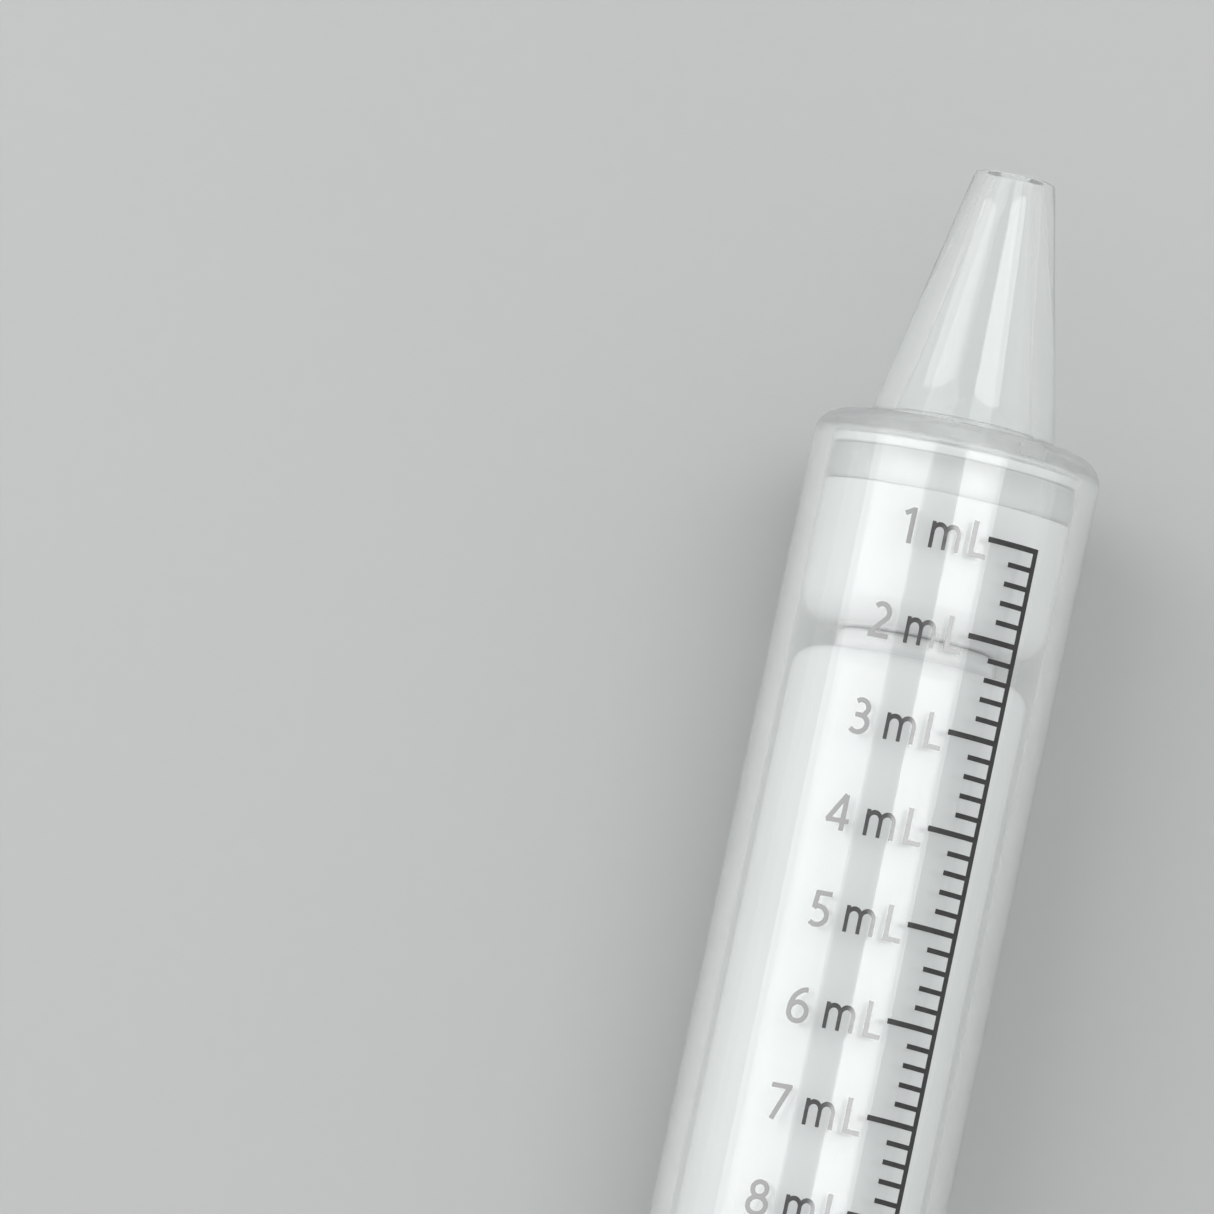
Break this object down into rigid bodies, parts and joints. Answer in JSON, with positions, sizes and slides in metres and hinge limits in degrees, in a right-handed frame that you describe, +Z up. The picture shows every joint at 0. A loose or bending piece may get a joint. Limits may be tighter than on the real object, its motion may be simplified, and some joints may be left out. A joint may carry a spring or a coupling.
{
  "type": "medicine dropper",
  "caption": "Clear graduated barrel with a hollow conical nozzle and finger wings, holding a white push-pull plunger with a silicone-sealed piston head.",
  "frame": {"origin": "centre of the bounding box in plan, on the surface that the dropper lies on", "axes": "+Y along the barrel towards the nozzle, +Z up through the printed scale, X across the finger wings"},
  "size_m": [0.028, 0.107, 0.0174],
  "materials": {
    "clear_plastic": "clear moulded polypropylene, polished",
    "white_plastic": "white moulded polyethylene, satin gloss",
    "silicone": "translucent silicone, satin",
    "scale_ink": "printed dark grey ink"
  },
  "bodies": {
    "barrel": {"barrel": "clear_plastic"},
    "piston": {"piston_head": "white_plastic", "seal_ring": "silicone"},
    "rod": {"plunger_rod": "white_plastic"}
  },
  "joints": [
    {"name": "plunger_slide", "type": "slide", "parent": "barrel", "child": "piston", "axis": [0, -1, 0], "range_m": [0, 0.06]},
    {"name": "rod_spin", "type": "hinge", "parent": "piston", "child": "rod", "pos_m": [0, 0.0275, 0.0087], "axis": [0, 1, 0], "continuous": true}
  ]
}
